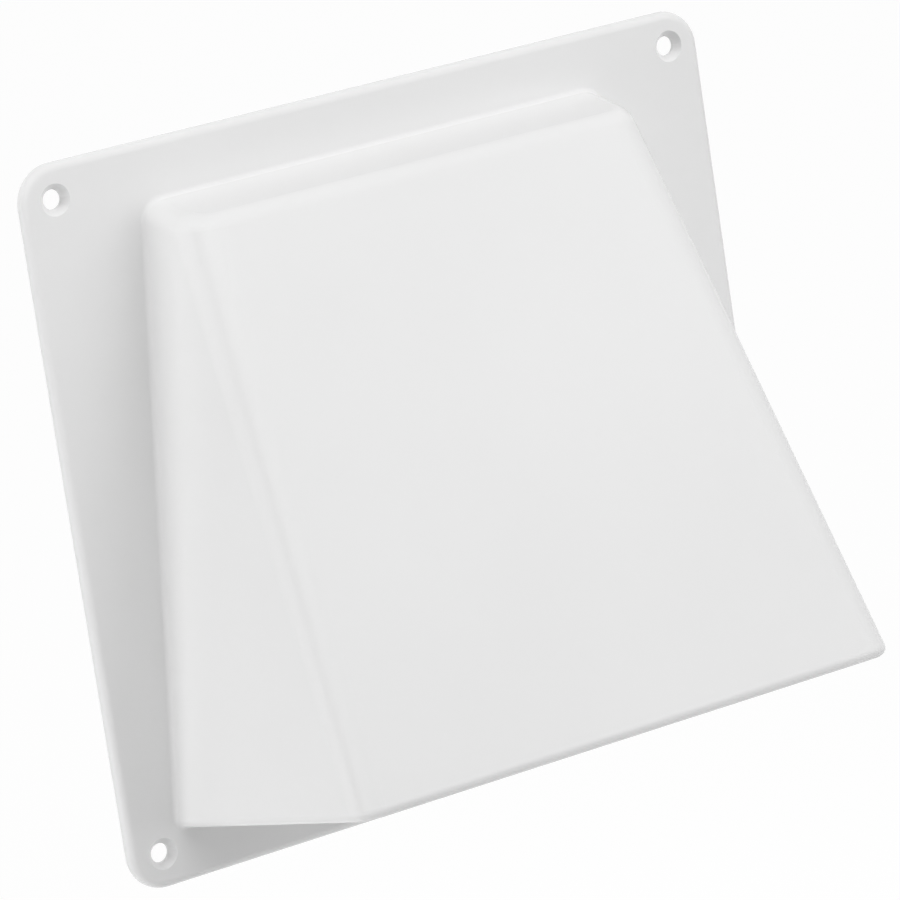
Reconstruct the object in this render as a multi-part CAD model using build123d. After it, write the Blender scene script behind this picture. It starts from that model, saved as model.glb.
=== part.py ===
from build123d import *
import os
from math import cos, radians, sin, tan

# Wall vent cap: one white moulding, a wedge-shaped hood standing on a flat flange.
# The hood is hollow, open to the duct behind it and open downwards at its mouth.
# Every wall leans the way a two-part mould opens, so the hollow is widest at the back.
# Frame: the flange's back face lies on Y = 0 against the wall, the hood points along -Y,
# +Z is up, and the origin is the middle of the four screw holes.

# Driving dimensions, in millimetres and degrees

# Flange
screw_spacing_across = 176.0    # between screw holes, along X
screw_spacing_up = 160.0        # between screw holes, along Z
screw_margin_across = 8.9       # from a hole's centre out to the flange's side edge
screw_margin_up = 8.6           # from a hole's centre to the flange's top or bottom edge
flange_thickness = 2.5
flange_corner_radius = 9.5
flange_edge_round = 2.0         # front edge of the flange

# Countersunk screw holes
screw_hole_diameter = 4.8
countersink_diameter = 7.8
countersink_angle = 82.0

# Hood, measured on its outside from the flange's front face
hood_mouth_width = 166.3        # across the side walls where the mouth meets the flange
hood_mouth_drop = 75.3          # from the centre down to the mouth at the flange
hood_top_rise = 74.3            # from the centre up to the top wall at the flange
hood_reach = 78.6               # from the flange's front face out to the front of the mouth
mouth_angle = 9.0               # the mouth rises towards the front
front_angle = 23.7              # front wall, from upright
top_angle = 10.3                # the top wall falls towards the front
side_taper = 6.85               # each side wall leans in towards the top
side_draft = 3.8                # each side wall leans in towards the front
wall_thickness = 2.8

# Rounded edges of the hood
front_corner_low = 6.5          # between front and side walls, at the mouth
front_corner_high = 9.5         # between front and side walls, at the top
least_inner_corner = 0.6        # inside the hood, where the wall takes up the whole outer radius
top_round = 5.5                 # round the top wall
rim_round = 2.0                 # outer edge of the mouth
base_fillet = 1.2               # inside corner where the hood leaves the flange

# Room by which a working solid passes a face that it cuts or is cut by
overrun = 5.0
plane_tolerance = 1e-4

# Derived sizes
flange_width = screw_spacing_across + 2 * screw_margin_across
flange_height = screw_spacing_up + 2 * screw_margin_up
flange_front = -flange_thickness
mouth_rise = hood_reach * tan(radians(mouth_angle))
side_lean = tan(radians(side_taper))
side_drift = tan(radians(side_draft))

# Planes of the hood's outer walls, each facing outwards
front_wall = Plane((0, flange_front - hood_reach, mouth_rise - hood_mouth_drop),
                   z_dir=(0, -cos(radians(front_angle)), sin(radians(front_angle))))
top_wall = Plane((0, flange_front, hood_top_rise),
                 z_dir=(0, -sin(radians(top_angle)), cos(radians(top_angle))))
mouth = Plane((0, flange_front, -hood_mouth_drop),
              z_dir=(0, -sin(radians(mouth_angle)), -cos(radians(mouth_angle))))
side_walls = [Plane((side * hood_mouth_width / 2, flange_front, -hood_mouth_drop),
                    z_dir=(side, -side_drift, side_lean)) for side in (-1, 1)]
flange_face = Plane((0, flange_front, 0), x_dir=(1, 0, 0), z_dir=(0, -1, 0))


def edges_on(solid, *planes):
    """Edges of a solid that lie on every one of the planes."""
    shares = (0, 0.5, 1)
    return ShapeList(edge for edge in solid.edges()
                     if all(plane.contains(edge @ share, plane_tolerance)
                            for plane in planes for share in shares))


def tapering_round(edge, wall_a, wall_b, radius_low, radius_high):
    """Cutter that rounds an upright edge between two walls, with a radius that grows upwards."""
    low, high = sorted((edge @ 0, edge @ 1), key=lambda end: end.Z)
    along = (high - low).normalized()
    growth = (radius_high - radius_low) / edge.length
    across_a = along.cross(wall_a.z_dir)
    across_b = along.cross(wall_b.z_dir)
    into_a = across_a * (-1 if across_a.dot(wall_b.z_dir) > 0 else 1)
    into_b = across_b * (-1 if across_b.dot(wall_a.z_dir) > 0 else 1)
    half_angle = radians(into_a.get_angle(into_b) / 2)

    def section(corner, radius):
        end_a = corner + into_a * (radius / tan(half_angle))
        end_b = corner + into_b * (radius / tan(half_angle))
        arc = TangentArc(end_a, end_b, tangent=-into_a)
        return Face(Wire([Line(end_b, corner), Line(corner, end_a), arc]))

    past = overrun + radius_high
    below = section(low - along * overrun, radius_low - growth * overrun)
    above = section(high + along * past, radius_high + growth * past)
    return loft([below, above], ruled=True)


def hood_form(inset, back, bottom):
    """Solid within the hood's walls, each moved in by an inset, from a back to a bottom plane."""
    front, top = front_wall.offset(-inset), top_wall.offset(-inset)
    sides = [wall.offset(-inset) for wall in side_walls]
    block = Pos(0, back, 0) * Box(2 * flange_width, 2 * hood_reach, 2 * flange_height,
                                  align=(Align.CENTER, Align.MAX, Align.CENTER))
    for wall in [front, top, bottom, *sides]:
        block = split(block, wall, keep=Keep.BOTTOM)
    corner_low = max(front_corner_low - inset, least_inner_corner)
    corner_high = max(front_corner_high - inset, least_inner_corner)
    for side in sides:
        block -= tapering_round(edges_on(block, front, side)[0], front, side, corner_low, corner_high)
    top_outline = edges_on(block, top).sort_by(Axis.Y)[:-1]
    return fillet(top_outline, max(top_round - inset, least_inner_corner))


def outer_hood():
    """Outside of the hood, rooted half-way into the flange, with a rounded rim round its mouth."""
    form = hood_form(0, flange_front / 2, mouth)
    rim = edges_on(form, mouth).sort_by(Axis.Y)[:-1]
    return fillet(rim, rim_round)


def air_way():
    """Space inside the hood, run down past the mouth, and on through the flange to the back."""
    space = hood_form(wall_thickness, overrun, mouth.offset(overrun))
    inside_hood = split(space, flange_face, keep=Keep.TOP)
    through_flange = split(split(space, flange_face, keep=Keep.BOTTOM), mouth, keep=Keep.BOTTOM)
    return [inside_hood, through_flange]


def flange():
    """Flat flange with round corners and a rounded front edge."""
    outline = RectangleRounded(flange_width, flange_height, flange_corner_radius)
    plate = extrude(Plane.XZ * outline, flange_thickness)
    return fillet(plate.faces().sort_by(Axis.Y)[0].edges(), flange_edge_round)


def screw_holes():
    """Four countersunk holes, sunk from the flange's front face."""
    radius = screw_hole_diameter / 2
    wide = countersink_diameter / 2
    sink = (wide - radius) / tan(radians(countersink_angle / 2))
    end = -flange_thickness - overrun
    half_profile = Polyline((0, overrun), (wide, overrun), (wide, 0), (radius, -sink), (radius, end), (0, end),
                            close=True)
    cutter = revolve(Plane.XZ * make_face(half_profile), Axis.Z)
    places = GridLocations(screw_spacing_across, screw_spacing_up, 2, 2)
    return [flange_face * place * cutter for place in places]


def vent_cap():
    """The whole moulding: hood on flange, filleted together, then hollowed and drilled."""
    body = flange() + outer_hood()
    front_face = body.faces().filter_by(Axis.Y).sort_by(Axis.Y)[0]
    body = fillet(front_face.inner_wires()[0].edges(), base_fillet)
    return body - air_way() - screw_holes()


cap = vent_cap()
cap.label = "vent_cap"
os.makedirs("parts", exist_ok=True)
export_step(cap, "parts/vent_cap.step")
print("vent_cap: volume", round(cap.volume), "mm3, size", cap.bounding_box().size)
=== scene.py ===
# %% [markdown]
# # A white wall vent cap
# The cap is one plastic moulding: a hollow wedge-shaped hood on a flat flange with four countersunk holes.
# Its solid model already has every wall, round and hole, so this lesson adds no geometry to it.
# What is left to make is its satin white skin, and the bright, soft studio in which such a part is pictured.

# %% Load the solid model
from math import cos, radians, sin

import bmesh
import bpy
from mathutils import Matrix, Vector


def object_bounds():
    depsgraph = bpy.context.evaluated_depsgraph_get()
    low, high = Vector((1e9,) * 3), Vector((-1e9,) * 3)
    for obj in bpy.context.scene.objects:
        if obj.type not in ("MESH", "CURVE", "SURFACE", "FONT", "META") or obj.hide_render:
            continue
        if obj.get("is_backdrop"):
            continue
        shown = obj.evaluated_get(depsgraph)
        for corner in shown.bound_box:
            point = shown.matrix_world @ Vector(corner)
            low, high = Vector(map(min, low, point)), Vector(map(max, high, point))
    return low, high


MM_PER_METRE = 1000

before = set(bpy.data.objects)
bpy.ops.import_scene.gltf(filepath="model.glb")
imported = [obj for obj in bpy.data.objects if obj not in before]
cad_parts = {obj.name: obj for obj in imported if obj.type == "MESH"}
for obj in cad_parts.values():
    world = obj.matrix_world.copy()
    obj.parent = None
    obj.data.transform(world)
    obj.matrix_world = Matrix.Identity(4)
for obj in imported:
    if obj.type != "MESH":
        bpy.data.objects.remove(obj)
cad_low, cad_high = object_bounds()
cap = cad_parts["vent_cap"]
cap_size = [round(MM_PER_METRE * side, 1) for side in cad_high - cad_low]
print("vent cap:", cap_size, "mm,", len(cap.data.polygons), "triangles")

# %% [markdown]
# ## Camera
# The picture is taken with a long lens, from the left and a little above, so that parallel edges stay nearly
# parallel. It is also turned a few degrees, which makes the flange's top edge climb to the right.
# The camera is placed by angles about a point inside the hood, which are easier to read and to change than a
# bare matrix.

# %% Camera at the picture's angle
CAMERA_AZIMUTH = radians(-31.155)
CAMERA_ELEVATION = radians(12.371)
CAMERA_ROLL = radians(-8.626)
CAMERA_DISTANCE = 1.4058
CAMERA_AIM = Vector((-0.0085, -0.0296, 0.0031))
CAMERA_LENS = 235.83


def direction_to(azimuth, elevation):
    """Unit vector from the part outwards: azimuth 0 is in front of it, positive to the right."""
    return Vector((sin(azimuth) * cos(elevation), -cos(azimuth) * cos(elevation), sin(elevation)))


def facing(direction):
    """Rotation that turns a camera, a lamp or a card to look against a direction, level with the horizon."""
    return (-direction).to_track_quat("-Z", "Y").to_matrix().to_4x4()


to_camera = direction_to(CAMERA_AZIMUTH, CAMERA_ELEVATION)
camera_data = bpy.data.cameras.new("camera")
camera_data.lens = CAMERA_LENS
camera = bpy.data.objects.new("camera", camera_data)
camera.matrix_world = (Matrix.Translation(CAMERA_AIM + CAMERA_DISTANCE * to_camera)
                       @ facing(to_camera) @ Matrix.Rotation(CAMERA_ROLL, 4, "Z"))
bpy.context.scene.collection.objects.link(camera)
bpy.context.scene.camera = camera
print("camera at", [round(value, 4) for value in camera.location])

# %% [markdown]
# ## White plastic
# The cap is moulded in white plastic with a satin skin. Three things keep it from looking like flat paint:
# the mould's fine grain, which scatters the reflections, a slow drift of gloss over each wall, and a slight
# drift of tone where the plastic flowed. Each is a noise in Object coordinates, so that it stays put on the
# part. Noise suits them better than a picture would, because it has no seams and no edge.

# %% White plastic
PLASTIC_COLOUR = (0.80, 0.80, 0.80)
PLASTIC_SHADE = (0.785, 0.785, 0.785)
PLASTIC_ROUGHNESS = (0.23, 0.26)
PLASTIC_IOR = 1.5
GRAIN_PER_METRE = 2600.0
GRAIN_DETAIL = 3
GRAIN_DEPTH = 0.00001
DRIFT_PER_METRE = 14.0
DRIFT_DETAIL = 2
NOISE_LOW = 0.3
NOISE_HIGH = 0.7


def new_material(name):
    """Empty node material and its node tree."""
    material = bpy.data.materials.new(name)
    material.use_nodes = True
    material.node_tree.nodes.clear()
    return material, material.node_tree


def add_noise(tree, coordinates, scale, detail):
    """Noise texture on a set of coordinates."""
    noise = tree.nodes.new("ShaderNodeTexNoise")
    noise.inputs["Scale"].default_value = scale
    noise.inputs["Detail"].default_value = detail
    tree.links.new(coordinates, noise.inputs["Vector"])
    return noise.outputs["Fac"]


def add_range(tree, value, low, high):
    """Map a noise's usual values to a range."""
    mapping = tree.nodes.new("ShaderNodeMapRange")
    mapping.inputs["From Min"].default_value = NOISE_LOW
    mapping.inputs["From Max"].default_value = NOISE_HIGH
    mapping.inputs["To Min"].default_value = low
    mapping.inputs["To Max"].default_value = high
    tree.links.new(value, mapping.inputs["Value"])
    return mapping.outputs["Result"]


def make_white_plastic():
    """Satin white moulded plastic."""
    material, tree = new_material("satin_white_plastic")
    place = tree.nodes.new("ShaderNodeTexCoord").outputs["Object"]
    shader = tree.nodes.new("ShaderNodeBsdfPrincipled")
    shader.inputs["IOR"].default_value = PLASTIC_IOR
    output = tree.nodes.new("ShaderNodeOutputMaterial")
    tree.links.new(shader.outputs["BSDF"], output.inputs["Surface"])

    tone = tree.nodes.new("ShaderNodeMix")
    tone.data_type = "RGBA"
    tone.inputs["A"].default_value = (*PLASTIC_SHADE, 1)
    tone.inputs["B"].default_value = (*PLASTIC_COLOUR, 1)
    drift = add_noise(tree, place, DRIFT_PER_METRE, DRIFT_DETAIL)
    tree.links.new(add_range(tree, drift, 0, 1), tone.inputs["Factor"])
    tree.links.new(tone.outputs["Result"], shader.inputs["Base Color"])
    tree.links.new(add_range(tree, drift, *PLASTIC_ROUGHNESS), shader.inputs["Roughness"])

    grain = add_noise(tree, place, GRAIN_PER_METRE, GRAIN_DETAIL)
    bump = tree.nodes.new("ShaderNodeBump")
    bump.inputs["Distance"].default_value = GRAIN_DEPTH
    tree.links.new(grain, bump.inputs["Height"])
    tree.links.new(bump.outputs["Normal"], shader.inputs["Normal"])
    return material


white_plastic = make_white_plastic()
for material_slot in cap.material_slots:
    material_slot.material = white_plastic
print("finish on the cap:", [material_slot.material.name for material_slot in cap.material_slots])

# %% [markdown]
# ## Studio
# The picture was lit from all round in a white studio, so shadows are faint and even the shaded flange is
# pale. A pale world gives that surround. Five soft boxes add direction. A strong one stands far to the left
# and a little low, so that it lights the side wall but only grazes the flange. One on the right lights the
# front wall. Two overhead light the top wall, and the left one of them puts the bright spot on the hood's
# upper left corner. The last stands behind the part: it draws the thin bright line along the flange's top
# edge, and it keeps the plastic pale when the cap is seen from the back.
# The boxes stay out of the reflections: satin plastic in such a studio mirrors the even white round it, and
# mirrored boxes would draw bright lines along every rounded edge.

# %% Surround and soft boxes
SURROUND_LIGHT = 0.168
BACKDROP_WHITE = 0.98


def seen_directly(tree):
    """1 for rays that see a thing directly, mirrored or through glass, and 0 for its light on others."""
    rays = tree.nodes.new("ShaderNodeLightPath")
    largest = rays.outputs["Is Camera Ray"]
    for kind in ("Is Glossy Ray", "Is Transmission Ray"):
        either = tree.nodes.new("ShaderNodeMath")
        either.operation = "MAXIMUM"
        tree.links.new(largest, either.inputs[0])
        tree.links.new(rays.outputs[kind], either.inputs[1])
        largest = either.outputs["Value"]
    return largest


def make_surround():
    """World that lights the part softly and looks white."""
    world = bpy.data.worlds.new("surround")
    world.use_nodes = True
    tree = world.node_tree
    background = tree.nodes["Background"]
    level = tree.nodes.new("ShaderNodeMapRange")
    level.inputs["To Min"].default_value = SURROUND_LIGHT
    level.inputs["To Max"].default_value = BACKDROP_WHITE
    tree.links.new(seen_directly(tree), level.inputs["Value"])
    tree.links.new(level.outputs["Result"], background.inputs["Strength"])
    background.inputs["Color"].default_value = (1, 1, 1, 1)
    bpy.context.scene.world = world


def make_soft_box(name, azimuth, elevation, distance, size, watts):
    """Square soft box that faces the part from a direction."""
    lamp = bpy.data.lights.new(name, "AREA")
    lamp.size = size
    lamp.energy = watts
    box = bpy.data.objects.new(name, lamp)
    outwards = direction_to(radians(azimuth), radians(elevation))
    box.matrix_world = Matrix.Translation(outwards * distance) @ facing(outwards)
    box.visible_glossy = False
    bpy.context.scene.collection.objects.link(box)
    print(name, "at", [round(value, 2) for value in box.location])


make_surround()
make_soft_box("left_box", azimuth=-90, elevation=-20, distance=1.2, size=1.0, watts=11.6)
make_soft_box("right_box", azimuth=35, elevation=10, distance=1.2, size=1.0, watts=6.15)
make_soft_box("top_box", azimuth=0, elevation=60, distance=1.0, size=1.0, watts=4.9)
make_soft_box("top_left_box", azimuth=-60, elevation=60, distance=1.0, size=1.0, watts=4.0)
make_soft_box("back_box", azimuth=180, elevation=25, distance=1.2, size=1.0, watts=5.0)

# %% [markdown]
# ## Dark gap
# White panels round a part leave gaps. The one to the left of the camera shows in the hood's left corner,
# whose round mirrors it as a thin dark line down the whole edge. Here it is one upright black card, far out,
# that the camera itself doesn't see. A card is better than a line painted on the plastic, because its
# reflection moves over the round as a real one does when the view changes.

# %% Dark gap left of the camera
GAP_AZIMUTH = radians(-73)
GAP_ELEVATION = radians(10)
GAP_DISTANCE = 1.6
GAP_WIDTH = 0.68
GAP_HEIGHT = 2.24
CARD_BLACK = (0.02, 0.02, 0.02)


def make_panel(name, width, height, place, finish):
    """Flat panel of the studio, turned and moved to its place."""
    panel_mesh = bpy.data.meshes.new(name)
    shape = bmesh.new()
    bmesh.ops.create_grid(shape, x_segments=1, y_segments=1, size=0.5)
    bmesh.ops.transform(shape, matrix=place @ Matrix.Diagonal((width, height, 1, 1)), verts=shape.verts)
    shape.to_mesh(panel_mesh)
    shape.free()
    panel_mesh.materials.append(finish)
    panel = bpy.data.objects.new(name, panel_mesh)
    bpy.context.scene.collection.objects.link(panel)
    panel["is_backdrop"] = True
    print(name, round(width, 2), "by", round(height, 2), "m")
    return panel


def make_black_card():
    """Matt black card."""
    material, tree = new_material("black_card")
    paint = tree.nodes.new("ShaderNodeBsdfDiffuse")
    paint.inputs["Color"].default_value = (*CARD_BLACK, 1)
    output = tree.nodes.new("ShaderNodeOutputMaterial")
    tree.links.new(paint.outputs["BSDF"], output.inputs["Surface"])
    return material


to_gap = direction_to(GAP_AZIMUTH, GAP_ELEVATION)
gap_place = Matrix.Translation(GAP_DISTANCE * to_gap) @ facing(to_gap)
gap = make_panel("dark_gap", GAP_WIDTH, GAP_HEIGHT, gap_place, make_black_card())
gap.visible_camera = False

# %% [markdown]
# ## Floor
# A pale floor lies well below the part, as the cap hangs free in the picture, and runs far past the frame.
# Most of its look is a white glow, and the rest is ordinary paint that takes the part's shadow. The glow is
# as strong as it must be for the floor to reach the backdrop's white far from the lamps, so that there is no
# horizon. From below the floor is left clear, for views up into the hood.

# %% Floor
FLOOR_DROP = 0.5
FLOOR_SIZE = 60.0
FLOOR_PAINT = 0.8
FLOOR_GLOW_SHARE = 0.9
FLOOR_GLOW = (BACKDROP_WHITE - (1 - FLOOR_GLOW_SHARE) * FLOOR_PAINT * SURROUND_LIGHT) / FLOOR_GLOW_SHARE


def make_floor_finish():
    """Pale floor paint under a white glow, clear from below."""
    material, tree = new_material("pale_floor")
    paint = tree.nodes.new("ShaderNodeBsdfDiffuse")
    paint.inputs["Color"].default_value = (FLOOR_PAINT, FLOOR_PAINT, FLOOR_PAINT, 1)
    glow = tree.nodes.new("ShaderNodeEmission")
    glow.inputs["Strength"].default_value = FLOOR_GLOW
    share = tree.nodes.new("ShaderNodeMath")
    share.operation = "MULTIPLY"
    share.inputs[1].default_value = FLOOR_GLOW_SHARE
    tree.links.new(seen_directly(tree), share.inputs[0])
    look = tree.nodes.new("ShaderNodeMixShader")
    tree.links.new(share.outputs["Value"], look.inputs["Fac"])
    tree.links.new(paint.outputs["BSDF"], look.inputs[1])
    tree.links.new(glow.outputs["Emission"], look.inputs[2])

    from_below = tree.nodes.new("ShaderNodeNewGeometry").outputs["Backfacing"]
    clear = tree.nodes.new("ShaderNodeBsdfTransparent")
    sided = tree.nodes.new("ShaderNodeMixShader")
    tree.links.new(from_below, sided.inputs["Fac"])
    tree.links.new(look.outputs["Shader"], sided.inputs[1])
    tree.links.new(clear.outputs["BSDF"], sided.inputs[2])
    output = tree.nodes.new("ShaderNodeOutputMaterial")
    tree.links.new(sided.outputs["Shader"], output.inputs["Surface"])
    return material


floor_place = Matrix.Translation((0, 0, cad_low.z - FLOOR_DROP))
make_panel("floor", FLOOR_SIZE, FLOOR_SIZE, floor_place, make_floor_finish())

# %% [markdown]
# ## Colour and size
# The Standard view shows colours as they are written. The part's box before and after dressing is written
# down, because a finish must not change its size.

# %% Colour and size
bpy.context.scene.view_settings.view_transform = "Standard"
low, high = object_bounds()
size_change = (high - low) - (cad_high - cad_low)
print("size change:", [round(MM_PER_METRE * value, 3) for value in size_change], "mm")
